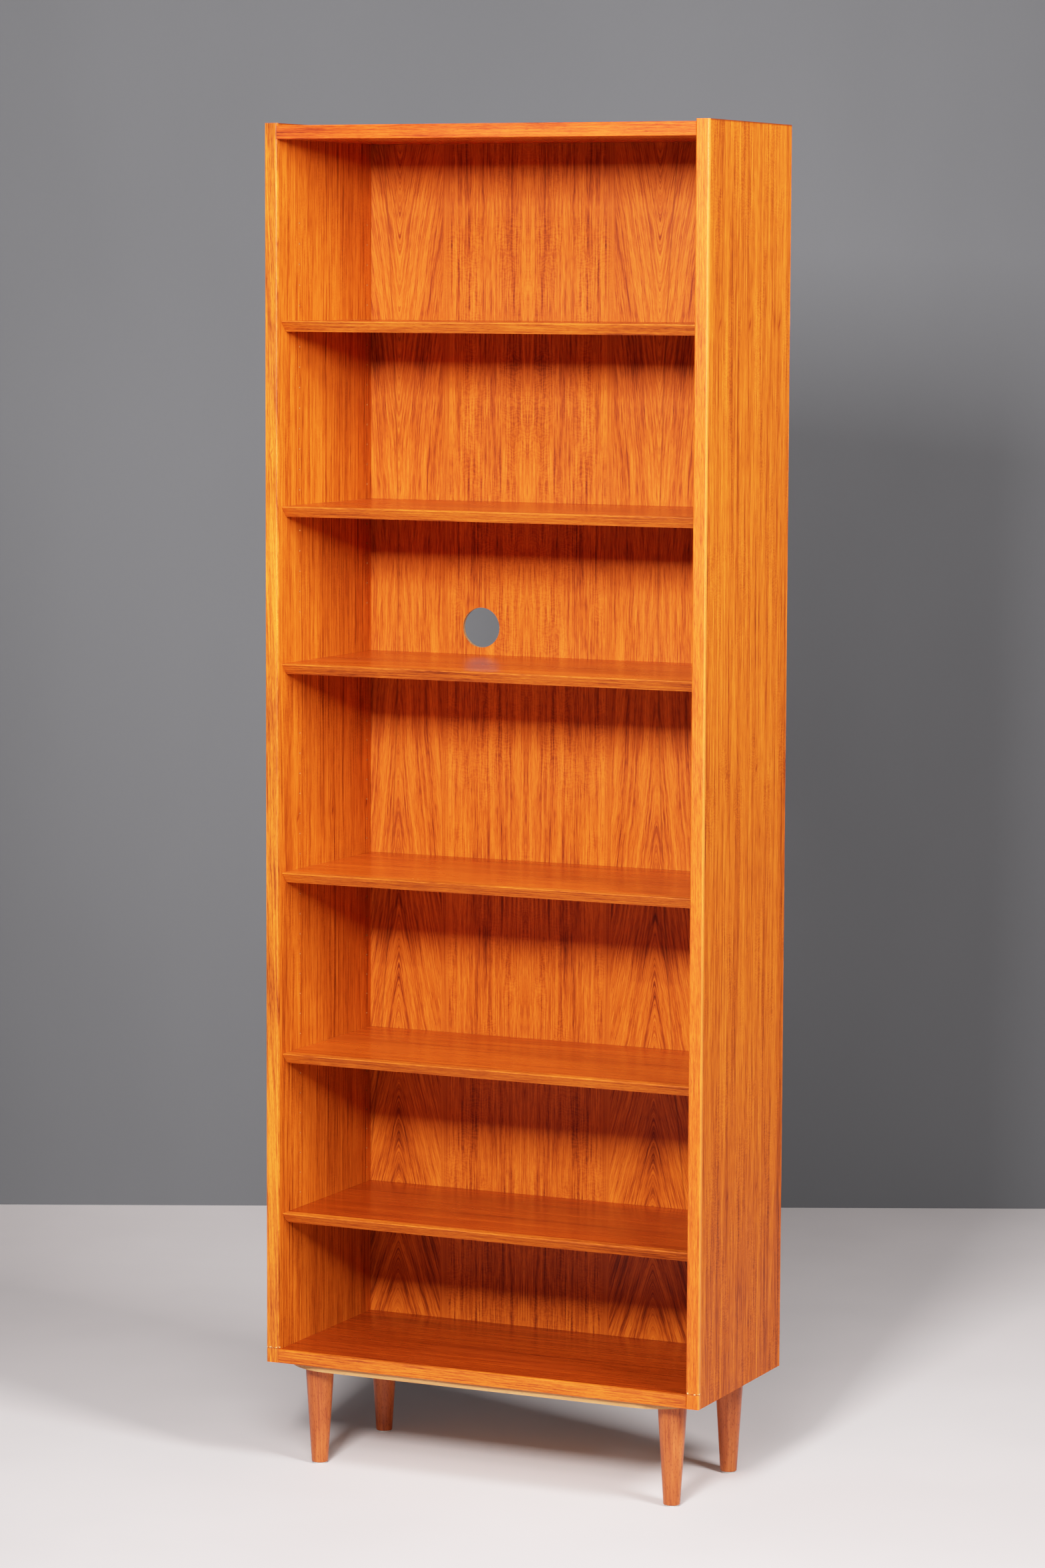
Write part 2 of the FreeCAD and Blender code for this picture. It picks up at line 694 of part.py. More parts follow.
def make_screw(name, head, length, direction):
    """A countersunk screw whose head is flush at the given point."""
    rotation = Rotation(Vector(0, 0, 1), direction)
    cone_sizes = {
        "Radius1": "Sheet.screw_head_diameter / 2",
        "Radius2": "Sheet.screw_diameter / 2",
        "Height": HEAD_RIM,
    }
    neck = [f"{spot} + {step} * {HEAD_RIM}" for spot, step in zip(head, direction)]
    shank_sizes = {"Radius": "Sheet.screw_diameter / 2", "Height": f"{length} - {HEAD_RIM}"}
    screw = doc.addObject("Part::Fuse", name)
    screw.Base = primitive("Cone", f"{name}_head", cone_sizes, *head, rotation)
    screw.Tool = primitive("Cylinder", f"{name}_shank", shank_sizes, *neck, rotation)
    return screw


def make_back_screws():
    items = []
    for i, (across, up) in enumerate(sum(BACK_SCREWS.values(), [])):
        head = (across, "Sheet.carcass_depth", up)
        items.append(make_screw(f"back_screw_{i}", head, "Sheet.back_screw_length", Vector(0, -1, 0)))
    return group("back_panel_screws", items)


def make_plate_screws():
    items = []
    for i, (across, back) in enumerate(PLATE_SCREWS):
        head = (across, back, "-Sheet.plate_thickness")
        items.append(make_screw(f"plate_screw_{i}", head, "Sheet.plate_screw_length", Vector(0, 0, 1)))
    return group("base_plate_screws", items)


def make_leg_bolts():
    sizes = {"Radius": "Sheet.bolt_diameter / 2", "Height": "Sheet.bolt_length"}
    low = "-Sheet.bolt_drop - Sheet.bolt_length"
    return group("leg_bolts", [
        primitive("Cylinder", f"{corner}_bolt", sizes, across, back, low)
        for corner, (across, back) in LEG_SPOTS.items()
    ])


def make_leg_nuts():
    """Tee nuts let into the top of the base plate."""
    items = []
    flange = {"Radius": "Sheet.nut_flange_diameter / 2", "Height": "Sheet.nut_flange_height"}
    barrel = {"Radius": "Sheet.nut_barrel_diameter / 2", "Height": "Sheet.nut_barrel_length"}
    bore = {"Radius": "(Sheet.bolt_diameter + Sheet.bore_gap) / 2", "Height": "Sheet.nut_barrel_length"}
    for corner, spot in LEG_SPOTS.items():
        whole = doc.addObject("Part::Fuse", f"{corner}_nut_blank")
        whole.Base = primitive("Cylinder", f"{corner}_nut_flange", flange, *spot, "-Sheet.nut_flange_height")
        whole.Tool = primitive("Cylinder", f"{corner}_nut_barrel", barrel, *spot, "-Sheet.nut_barrel_length")
        nut = doc.addObject("Part::Cut", f"{corner}_nut")
        nut.Base = whole
        nut.Tool = primitive("Cylinder", f"{corner}_nut_bore", bore, *spot, "-Sheet.nut_barrel_length")
        items.append(nut)
    return group("leg_nuts", items)


# ---------------------------------------------------------------- the whole bookcase

def make_pieces():
    pieces = []
    for end in ENDS:
        pieces.append(make_side(end))
        splice = "Sheet.foot_lipping_height"
        pieces.append(make_side_lipping(end, f"{end}_side_lipping", splice, "Sheet.side_height"))
        pieces.append(make_side_lipping(end, f"{end}_foot_lipping", "0", splice))
    for name in BOARD_HEIGHTS:
        pieces.append(make_board(name))
        pieces.append(make_board_lipping(name))
    pieces.append(make_back())
    pieces += make_fixed_shelf()
    for node, row in ADJUSTABLE_ROWS.items():
        pieces += make_adjustable_shelf(node, row)
        pieces += [make_wire(node, row, end) for end in ENDS]
    pieces.append(make_base_plate())
    for corner in LEG_SPOTS:
        pieces.append(make_leg(corner))
        pieces.append(make_glide(corner))
    pieces += [make_dowels(node) for node in DOWELS]
    pieces += [make_back_screws(), make_plate_screws(), make_leg_bolts(), make_leg_nuts()]
    return pieces


def check(pieces):
    """Stop if any object failed or any piece isn't a sound shape."""
    for item in doc.Objects:
        if "Invalid" in item.State or "Error" in item.State:
            raise RuntimeError(f"{item.Name} failed: {item.State}")
    for piece in pieces:
        shape = piece.Shape
        if shape.isNull() or not shape.isValid() or shape.Volume <= 0:
            raise RuntimeError(f"{piece.Label} has no sound shape")


def export(pieces):
    os.makedirs("parts", exist_ok=True)
    for piece in pieces:
        piece.Shape.exportStep(f"parts/{piece.Label}.step")
        solids = len(piece.Shape.Solids)
        print(f"{piece.Label}: {solids} solid(s), {piece.Shape.Volume / 1000:.1f} cm3")


fill_sheet()
bookcase = make_pieces()
doc.recompute()
check(bookcase)
export(bookcase)
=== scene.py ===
import json
import math

import bpy
from mathutils import Matrix, Vector


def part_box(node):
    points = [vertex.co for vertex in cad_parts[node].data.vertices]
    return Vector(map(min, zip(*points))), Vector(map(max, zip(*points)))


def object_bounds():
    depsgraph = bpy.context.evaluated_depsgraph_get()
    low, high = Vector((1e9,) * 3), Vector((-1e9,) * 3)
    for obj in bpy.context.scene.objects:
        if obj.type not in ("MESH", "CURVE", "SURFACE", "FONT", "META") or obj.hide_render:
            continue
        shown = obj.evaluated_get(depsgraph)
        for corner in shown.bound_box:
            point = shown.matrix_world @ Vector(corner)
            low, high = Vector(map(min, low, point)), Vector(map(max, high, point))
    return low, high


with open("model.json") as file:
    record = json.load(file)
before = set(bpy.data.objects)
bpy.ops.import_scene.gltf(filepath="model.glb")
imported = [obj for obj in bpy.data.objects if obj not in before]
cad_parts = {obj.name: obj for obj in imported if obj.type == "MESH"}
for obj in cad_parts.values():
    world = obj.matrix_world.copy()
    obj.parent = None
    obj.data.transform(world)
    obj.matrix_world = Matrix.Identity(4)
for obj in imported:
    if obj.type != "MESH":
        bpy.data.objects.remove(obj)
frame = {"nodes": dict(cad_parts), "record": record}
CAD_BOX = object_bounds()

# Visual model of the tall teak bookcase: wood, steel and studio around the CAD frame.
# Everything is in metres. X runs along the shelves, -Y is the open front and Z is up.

NODES = frame["nodes"]


# ---------------------------------------------------------------- places read from the frame

FRONT = CAD_BOX[0].y
OUTER = CAD_BOX[1].x
SIDE_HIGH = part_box("left_side_panel")[1].z
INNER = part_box("top_panel")[1].x
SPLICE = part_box("left_foot_lipping")[1].z
CABLE_MOUNT = next(m for m in frame["record"]["mounts"] if m["name"] == "cable_hole")
CABLE_HOLE = Vector(CABLE_MOUNT["pos_m"])
CABLE_RADIUS = CABLE_MOUNT["dims"]["r_mm"] / 1000


# ---------------------------------------------------------------- knots: across, height and size

RIGHT_KNOTS = [(0.0455, 1.702, 0.0052), (0.085, 1.062, 0.0034), (0.100, 0.447, 0.0040)]
LEFT_KNOTS = [(0.065, 0.969, 0.0040)]
LIPPING_KNOTS = [(-0.3385, 1.512, 0.0030)]


# ---------------------------------------------------------------- shader graphs

class Graph:
    """A material's node tree, written as sums of sockets."""

    def __init__(self, name):
        self.material = bpy.data.materials.new(name)
        self.material.use_nodes = True
        self.tree = self.material.node_tree
        self.tree.nodes.clear()
        self.output = self.tree.nodes.new("ShaderNodeOutputMaterial")
        self.place = self.tree.nodes.new("ShaderNodeTexCoord")

    def node(self, kind, inputs=None, **settings):
        made = self.tree.nodes.new(kind)
        for key, value in settings.items():
            setattr(made, key, value)
        for key, value in (inputs or {}).items():
            self.feed(made.inputs[key], value)
        return made

    def feed(self, socket, value):
        if isinstance(value, bpy.types.NodeSocket):
            self.tree.links.new(value, socket)
        else:
            socket.default_value = value

    def math(self, operation, first, second=0.0, third=0.0):
        made = self.node("ShaderNodeMath", operation=operation)
        for socket, value in zip(made.inputs, (first, second, third)):
            self.feed(socket, value)
        return made.outputs[0]

    def add(self, first, second):
        return self.math("ADD", first, second)

    def sub(self, first, second):
        return self.math("SUBTRACT", first, second)

    def mul(self, first, second):
        return self.math("MULTIPLY", first, second)

    def mul_add(self, first, second, third):
        return self.math("MULTIPLY_ADD", first, second, third)

    def step(self, value, low, high):
        """0 below low, 1 above high and smooth between them."""
        made = self.node("ShaderNodeMapRange", {"Value": value, "From Min": low, "From Max": high})
        made.interpolation_type = "SMOOTHSTEP"
        return made.outputs["Result"]

    def near(self, value, centre, width):
        """1 at the centre, falling to 0 at the given width on either side."""
        apart = self.math("ABSOLUTE", self.sub(value, centre))
        return self.sub(1.0, self.step(apart, 0.0, width))

    def axes(self):
        split = self.node("ShaderNodeSeparateXYZ", {"Vector": self.place.outputs["Object"]})
        return split.outputs["X"], split.outputs["Y"], split.outputs["Z"]

    def normal_axes(self):
        split = self.node("ShaderNodeSeparateXYZ", {"Vector": self.place.outputs["Normal"]})
        return split.outputs["X"], split.outputs["Y"], split.outputs["Z"]

    def noise(self, across, along, depth, fine, long, detail=2.0, seed=0.0, rough=0.5):
        """Noise stretched along the grain: fine cycles a metre across it, long along it."""
        spot = self.node("ShaderNodeCombineXYZ", {
            "X": self.mul_add(across, fine, seed),
            "Y": self.mul_add(along, long, seed * 0.37),
            "Z": self.mul_add(depth, fine * 0.5, seed * 0.71),
        })
        made = self.node("ShaderNodeTexNoise", {
            "Vector": spot.outputs[0], "Scale": 1.0, "Detail": detail, "Roughness": rough,
        })
        return made.outputs["Fac"]

    def ramp(self, value, stops):
        made = self.node("ShaderNodeValToRGB", {"Fac": value})
        elements = made.color_ramp.elements
        while len(elements) < len(stops):
            elements.new(0.5)
        for element, (spot, colour) in zip(elements, stops):
            element.position = spot
            element.color = (*colour, 1.0)
        return made.outputs["Color"]

    def mix(self, amount, first, second):
        made = self.node("ShaderNodeMix", data_type="RGBA")
        self.feed(made.inputs["Factor"], amount)
        for key, value in (("A", first), ("B", second)):
            socket = next(s for s in made.inputs if s.name == key and s.type == "RGBA")
            self.feed(socket, (*value, 1.0) if isinstance(value, tuple) else value)
        return next(s for s in made.outputs if s.type == "RGBA")

    def bump(self, height, distance):
        made = self.node("ShaderNodeBump", {"Height": height, "Distance": distance})
        return made.outputs["Normal"]

    def finish(self, shader):
        self.tree.links.new(shader, self.output.inputs["Surface"])
        return self.material


# ---------------------------------------------------------------- wood

TEAK = {
    "dark": (0.085, 0.0080, 0.0010),
    "low": (0.250, 0.0310, 0.0022),
    "mid": (0.460, 0.0650, 0.0040),
    "high": (0.680, 0.1180, 0.0080),
}
STAINED = {
    "dark": (0.15, 0.022, 0.005),
    "low": (0.28, 0.047, 0.010),
    "mid": (0.40, 0.078, 0.016),
    "high": (0.53, 0.125, 0.030),
}
BEECH = {
    "dark": (0.46, 0.21, 0.07),
    "low": (0.58, 0.31, 0.12),
    "mid": (0.68, 0.40, 0.18),
    "high": (0.78, 0.50, 0.26),
}
TANNED = {
    "dark": (0.30, 0.110, 0.030),
    "low": (0.40, 0.165, 0.050),
    "mid": (0.48, 0.220, 0.075),
    "high": (0.56, 0.280, 0.105),
}
VESSEL = (0.10, 0.012, 0.001)
VENEER_KNOT = (0.12, 0.009, 0.001)
SOLID_KNOT = (0.20, 0.018, 0.002)
SAWN_DARK = (0.05, 0.006, 0.001)
SAWN_PALE = (0.17, 0.024, 0.003)
REAR_EDGE = (0.30, 0.07, 0.015)
BORE_WALL = (0.55, 0.20, 0.06)
REVERSE_DARK = (0.28, 0.12, 0.04)
REVERSE_PALE = (0.46, 0.23, 0.09)
CORE_DARK = (0.20, 0.05, 0.01)
CORE_PALE = (0.62, 0.36, 0.16)
# painted highlight: the pale colour laid along the outer arris of the edgings, standing for the lamps'
# glint
PAINTED_ARRIS_HIGHLIGHT = (0.92, 0.24, 0.03)
SPLICE_GLUE = (0.10, 0.010, 0.001)
SPLICE_CHIP = (0.90, 0.50, 0.20)
BEECH_FLECK = (0.36, 0.16, 0.06)
STAINED_FLECK = (0.12, 0.018, 0.004)

LEAF = 0.112            # width of a veneer leaf on the sides
BACK_MIDDLE = -0.068    # the line that the leaves of the back are mirrored about
BACK_SEAM = 0.130       # from there to the joint of the middle leaves and the outer ones
BACK_POINT = 0.214      # and to the axis of the nested points
BACK_TURN = 1.30        # the height where the points turn from upward to downward

# noises that a wood is made of: cycles a metre across the grain, along it, and strength
RIGHT_BANDS = [
    (15.0, 1.0, 0.30), (50.0, 1.4, 0.65), (150.0, 2.2, 0.80),
    (430.0, 9.0, 1.00), (1000.0, 35.0, 1.1),
]
LEFT_BANDS = [
    (10.0, 0.6, 0.35), (60.0, 1.0, 0.45), (210.0, 2.0, 0.80),
    (460.0, 9.0, 1.00), (950.0, 35.0, 1.0),
]
BACK_BANDS = [
    (12.0, 1.2, 0.40), (60.0, 1.5, 0.50), (200.0, 3.0, 0.90),
    (430.0, 11.0, 1.15), (950.0, 45.0, 1.0),
]
BOARD_BANDS = [
    (14.0, 0.9, 0.50), (60.0, 1.2, 0.50), (190.0, 2.5, 0.55),
    (480.0, 12.0, 0.70), (950.0, 45.0, 0.7),
]
BEECH_BANDS = [(28.0, 5.0, 0.9), (230.0, 7.0, 1.0), (700.0, 20.0, 0.5)]


def palette(colours, warm=1.0, light=1.0):
    """The four tones of a wood as ramp stops; warm shifts them towards yellow."""
    stops = zip((0.10, 0.36, 0.60, 0.95), ("dark", "low", "mid", "high"))
    tint = (light, light * warm, light * warm)
    return [(spot, tuple(part * by for part, by in zip(colours[tone], tint))) for spot, tone in stops]


class Wood:
    """Grain fields of one piece: across and along the grain, and through the board."""

    def __init__(self, name, grain, seed=0.0):
        self.g = Graph(name)
        self.x, self.y, self.z = self.g.axes()
        self.seed = seed
        order = {"upright_side": "yzx", "upright": "xzy", "level": "yxz", "level_edge": "zxy"}[grain]
        self.across, self.along, self.depth = (getattr(self, axis) for axis in order)
        self.line = self.across

    def noise(self, fine, long, detail=2.0, seed=0.0, rough=0.5):
        return self.g.noise(self.line, self.along, self.depth, fine, long, detail, self.seed + seed, rough)

    def sway(self, size, fine=5.0, long=1.3):
        """Let the grain lines wander sideways by about this much."""
        drift = self.noise(fine, long, 2.0, 3.1)
        self.line = self.g.mul_add(self.g.sub(drift, 0.5), size * 4, self.line)

    def knot(self, across, along, size):
        """Push the grain lines round a small knot and return how near it is."""
        g = self.g
        off = g.sub(self.across, across)
        up = g.sub(self.along, along)
        reach = g.mul(off, 1 / (size * 2.2))
        rise = g.mul(up, 1 / (size * 4.5))
        bell = g.math("EXPONENT", g.mul(g.add(g.mul(reach, reach), g.mul(rise, rise)), -1.0))
        push = g.math("TANH", g.mul(off, 1 / size))
        self.line = g.mul_add(g.mul(bell, push), -size * 1.1, self.line)
        core_off = g.mul(g.mul_add(up, -0.45, off), 1 / (size * 0.42))
        core_up = g.mul(up, 1 / (size * 1.5))
        core = g.math("EXPONENT", g.mul(g.add(g.mul(core_off, core_off), g.mul(core_up, core_up)), -1.0))
        return g.mul_add(bell, 0.25, core)

    def tone(self, bands, start=0.58):
        """Sum of noises, given as (cycles a metre across, along, strength)."""
        total = start
        for turn, (fine, long, strength) in enumerate(bands):
            part = self.noise(fine, long, 2.0, 5.0 + turn * 2.3, 0.6)
            total = self.g.mul_add(self.g.sub(part, 0.5), strength, total)
        return total

    def growth(self, spacing, wander, sharp=3.0):
        """Growth lines: the wood darkens slowly into a thin line, then starts pale again."""
        g = self.g
        loose = self.noise(0.16 / spacing, 1.2, 2.0, 8.8)
        saw = g.math("FRACT", g.mul_add(self.line, 1 / spacing, g.mul(loose, wander * 8)))
        return g.mul(g.math("POWER", saw, sharp), g.sub(1.0, g.step(saw, 0.92, 1.0)))

    def patchy(self, fine, long, low=0.44, high=0.60, seed=15.0):
        return self.g.step(self.noise(fine, long, 2.0, seed), low, high)


def add_pores(wood, colour, strength, fine=1400.0, long=75.0):
    """Short dark vessels along the grain."""
    g = wood.g
    mask = g.step(wood.noise(fine, long, 1.0, 9.0), 0.585, 0.68)
    return g.mix(g.mul(mask, strength), colour, VESSEL)


def ripple(wood, amount, where=1.0, pitch=0.0058):
    """Fiddleback: short bars across the grain where the fibres rise and fall."""
    g = wood.g
    bend = g.noise(wood.across, wood.along, wood.depth, 60.0, 70.0, 3.0, wood.seed + 13.0)
    wave = g.math("SINE", g.mul_add(wood.along, 2 * math.pi / pitch, g.mul(bend, 34.0)))
    cover = g.noise(wood.across, wood.along, wood.depth, 26.0, 8.0, 2.0, wood.seed + 17.0)
    patch = g.step(cover, 0.44, 0.62)
    return g.mul(g.mul(wave, patch), g.mul(where, amount))


def polish(wood, colour, roughness, gloss=0.2, bump=0.00010):
    """Oiled wood: low gloss that varies a little from place to place, over open pores."""
    g = wood.g
    height = g.noise(wood.across, wood.along, wood.depth, 900.0, 45.0, 1.0, wood.seed + 9.0)
    cloud = g.noise(wood.across, wood.along, wood.depth, 9.0, 5.0, 3.0, wood.seed + 40.0)
    surface = g.node("ShaderNodeBsdfPrincipled", {
        "Base Color": colour,
        "Roughness": g.mul_add(g.sub(cloud, 0.5), 0.25, roughness),
        "IOR": 1.5,
        "Specular IOR Level": gloss,
        "Normal": g.bump(height, bump),
    })
    return g.finish(surface.outputs["BSDF"])


def side_veneer(name, seed, warm, knots, bands, rippling):
    """Upright leaves cut one after another, so each repeats the last with small changes."""
    wood = Wood(name, "upright_side", seed)
    g = wood.g
    turn = g.mul(g.sub(wood.y, FRONT), 1 / LEAF)
    wood.across = g.mul(g.math("FRACT", turn), LEAF)
    wood.depth = g.mul_add(g.math("FLOOR", turn), 0.011, wood.x)
    wood.line = wood.across
    wood.sway(0.0016, 9.0, 1.6)
    core = 0.0
    for across, along, size in knots:
        core = g.add(core, wood.knot(across, along, size))
    lines = g.mul(wood.growth(0.0105, 0.7), wood.patchy(30.0, 0.9))
    tone = g.sub(wood.tone(bands), g.mul(lines, 0.26))
    tone = g.add(tone, ripple(wood, rippling))
    colour = g.ramp(tone, palette(TEAK, warm))
    colour = add_pores(wood, colour, 0.30)
    colour = g.mix(g.mul(g.math("MINIMUM", core, 1.0), 0.85), colour, VENEER_KNOT)
    seam = g.near(wood.across, 0.0, 0.0006)
    colour = g.mix(g.mul(seam, 0.25), colour, VESSEL)
    colour = side_edges(wood, colour)
    return polish(wood, colour, 0.44, 0.04)


def side_edges(wood, colour):
    """The sawn ends, the rear edge and the shelf-pin bores of a side panel."""
    g = wood.g
    nx, ny, nz = g.normal_axes()
    ends = g.step(g.math("ABSOLUTE", nz), 0.6, 0.8)
    # a thin dark band along the top end of each side panel
    top_dark_band = g.near(wood.z, SIDE_HIGH, 0.0036)
    rear = g.step(ny, 0.7, 0.8)
    speck = g.noise(wood.x, wood.y, wood.z, 900.0, 900.0, 2.0, wood.seed)
    sawn = g.ramp(speck, [(0.35, SAWN_DARK), (0.65, SAWN_PALE)])
    colour = g.mix(g.mul(top_dark_band, 0.95), colour, VESSEL)
    colour = g.mix(ends, colour, sawn)
    colour = g.mix(g.mul(rear, 0.6), colour, REAR_EDGE)
    out = g.math("ABSOLUTE", wood.x)
    past_inner = g.step(out, INNER + 0.0003, INNER + 0.0006)
    within = g.sub(past_inner, g.step(out, OUTER - 0.0010, OUTER - 0.0006))
    broad = g.step(g.math("ABSOLUTE", nx), 0.7, 0.8)
    flat = g.math("MAXIMUM", g.math("MAXIMUM", ends, rear), broad)
    bore = g.mul(within, g.sub(1.0, flat))
    return g.mix(bore, colour, BORE_WALL)


def back_veneer():
    """Book-matched leaves: rippled straight wood in the middle, nested points on either side."""
    wood = Wood("teak_back", "upright", 5.0)
    g = wood.g
    wood.across = g.math("ABSOLUTE", g.sub(wood.x, BACK_MIDDLE))
    wood.line = wood.across
    wood.sway(0.0026, 8.0, 2.2)
    off = g.sub(wood.line, BACK_POINT)
    blunt = g.math("SQRT", g.mul_add(off, off, 0.000005))
    rise = g.sub(wood.z, BACK_TURN)
    unrest = g.noise(wood.x, wood.z, wood.y, 22.0, 9.0, 3.0, 21.0)
    ragged = g.mul(g.sub(unrest, 0.5), 0.008)
    points = g.add(g.sub(blunt, g.mul(g.mul(rise, rise), 0.15)), ragged)
    outside = g.step(wood.across, BACK_SEAM - 0.004, BACK_SEAM + 0.012)
    wood.line = g.add(g.mul(points, outside), g.mul(wood.line, g.sub(1.0, outside)))
    lines = g.mul(wood.growth(0.0048, 0.4, sharp=8.0), g.mul_add(wood.patchy(50.0, 3.5), 0.8, 0.2))
    tone = g.sub(wood.tone(BACK_BANDS, 0.61), g.mul(lines, 0.28))
    tone = g.add(tone, ripple(wood, 0.07, g.mul_add(outside, -0.8, 1.0), 0.0062))
    colour = g.ramp(tone, palette(TEAK, 0.90, 0.97))
    colour = add_pores(wood, colour, 0.42)
    joint = g.near(g.mul_add(g.sub(wood.line, wood.across), 0.4, wood.across), BACK_SEAM, 0.0022)
    colour = g.mix(g.mul(joint, 0.6), colour, VESSEL)
    colour = back_edges(wood, colour)
    return polish(wood, colour, 0.42, 0.10)


def back_edges(wood, colour):
    """The plain reverse of the back and the layers seen in the rim of the cable hole."""
    g = wood.g
    _, ny, _ = g.normal_axes()
    plain = g.ramp(wood.noise(260.0, 5.0, 3.0, 33.0), [(0.3, REVERSE_DARK), (0.7, REVERSE_PALE)])
    colour = g.mix(g.step(ny, 0.7, 0.8), colour, plain)
    out = g.sub(wood.x, CABLE_HOLE.x)
    up = g.sub(wood.z, CABLE_HOLE.z)
    radius = g.math("SQRT", g.add(g.mul(out, out), g.mul(up, up)))
    layers = g.math("SINE", g.mul(wood.y, 2 * math.pi / 0.0019))
    rough = g.noise(wood.x, wood.y, wood.z, 500.0, 500.0, 2.0, 3.0)
    torn = g.mul_add(rough, 0.6, g.mul(layers, 0.2))
    core = g.ramp(torn, [(0.15, CORE_DARK), (0.45, CORE_PALE)])
    beyond = g.step(radius, CABLE_RADIUS + 0.0001, CABLE_RADIUS + 0.0007)
    return g.mix(g.sub(1.0, beyond), colour, core)


def board_veneer(name, seed, warm, light):
    """Shelf, top and bottom boards: quiet straight grain along the board."""
    wood = Wood(name, "level", seed)
    g = wood.g
    wood.depth = g.mul_add(g.math("ROUND", g.mul(wood.z, 9.0)), 0.05, wood.z)
    wood.sway(0.0030, 6.0, 1.5)
    lines = g.mul(wood.growth(0.010, 0.6), wood.patchy(22.0, 1.2))
    tone = g.sub(wood.tone(BOARD_BANDS, 0.57), g.mul(lines, 0.20))
    colour = g.ramp(tone, palette(TEAK, warm, light))
    colour = add_pores(wood, colour, 0.32)
    return polish(wood, colour, 0.26, 0.26, 0.00004)


def solid_teak(
    name, grain, seed, warm, light, slant=0.03, flame=0.0012, contrast=1.0, knots=(), spliced=False
):
    """Solid edging: slanting grain, clear pores and a lighter face than the veneer."""
    wood = Wood(name, grain, seed)
    g = wood.g
    core = 0.0
    for across, along, size in knots:
        core = g.add(core, wood.knot(across, along, size))
    wood.line = g.mul_add(wood.along, slant, wood.line)
    wood.sway(flame, 6.0, 3.0)
    lines = wood.growth(0.0042, 0.4)
    bands = [
        (20.0, 4.0, 0.70 * contrast), (150.0, 5.0, 0.60 * contrast),
        (480.0, 14.0, 0.8), (1000.0, 60.0, 0.9),
    ]
    tone = g.sub(wood.tone(bands, 0.64), g.mul(lines, 0.20 * contrast))
    colour = g.ramp(tone, palette(TEAK, warm, light))
    colour = add_pores(wood, colour, 0.45, 1500.0, 120.0)
    colour = g.mix(g.mul(g.math("MINIMUM", core, 1.0), 0.7), colour, SOLID_KNOT)
    # painted highlight: a lighter strip along the outer arris stands for the lamps' glint on the rounded
    # edge
    arris_highlight = g.near(g.math("ABSOLUTE", wood.x), OUTER, 0.0022)
    colour = g.mix(g.mul(arris_highlight, 0.45), colour, PAINTED_ARRIS_HIGHLIGHT)
    if spliced:
        colour = add_splice(wood, colour)
    return polish(wood, colour, 0.42, 0.14, 0.00014)


def add_splice(wood, colour):
    """The joint low on an upright edging, with a few chips on its edge."""
    g = wood.g
    torn = g.noise(wood.x, wood.z, wood.y, 420.0, 420.0, 2.0, wood.seed + 2.0)
    level = g.mul_add(g.sub(torn, 0.5), 0.0030, wood.z)
    colour = g.mix(g.mul(g.near(level, SPLICE, 0.0011), 0.9), colour, SPLICE_GLUE)
    chips = g.mul(g.near(level, SPLICE + 0.0016, 0.0024), g.step(torn, 0.54, 0.60))
    return g.mix(g.mul(chips, 0.9), colour, SPLICE_CHIP)


def small_beech(name, grain, seed, colours, fleck_colour, roughness, gloss):
    """Beech with its short ray flecks, plain or under a stain."""
    wood = Wood(name, grain, seed)
    g = wood.g
    wood.sway(0.0008, 9.0, 4.0)
    tone = wood.tone(BEECH_BANDS, 0.55)
    colour = g.ramp(tone, palette(colours))
    fleck = g.step(wood.noise(900.0, 170.0, 1.0, 4.0), 0.58, 0.66)
    colour = g.mix(g.mul(fleck, 0.5), colour, fleck_colour)
    return polish(wood, colour, roughness, gloss)


# ---------------------------------------------------------------- metal and plastic

def steel(name, tint, roughness):
    """Drawn or plated steel with fine scratches and a little tarnish."""
    g = Graph(name)
    x, y, z = g.axes()
    scratch = g.noise(x, y, z, 2200.0, 60.0, 2.0, 3.0)
    tarnish = g.noise(x, y, z, 90.0, 90.0, 3.0, 7.0)
    dull = tuple(part * 0.62 for part in tint)
    surface = g.node("ShaderNodeBsdfPrincipled", {
        "Base Color": g.mix(g.step(tarnish, 0.45, 0.75), tint, dull),
        "Roughness": g.mul_add(scratch, 0.18, roughness),
        "Metallic": 1.0,
        "Normal": g.bump(scratch, 0.00003),
    })
    return g.finish(surface.outputs["BSDF"])


def glide_plastic():
    """Pale grey nylon, scuffed where it stands on the floor."""
    g = Graph("glide_plastic")
    x, y, z = g.axes()
    scuff = g.noise(x, y, z, 700.0, 700.0, 3.0, 5.0)
    surface = g.node("ShaderNodeBsdfPrincipled", {
        "Base Color": g.ramp(scuff, [(0.3, (0.42, 0.40, 0.37)), (0.7, (0.66, 0.64, 0.60))]),
        "Roughness": g.mul_add(scuff, 0.2, 0.4),
        "Normal": g.bump(scuff, 0.00008),
    })
    return g.finish(surface.outputs["BSDF"])


# ---------------------------------------------------------------- dressing the frame

def dress(node, material):
    """Give every slot of a CAD node this material; its mesh stays as it is."""
    for slot in NODES[node].material_slots:
        slot.material = material


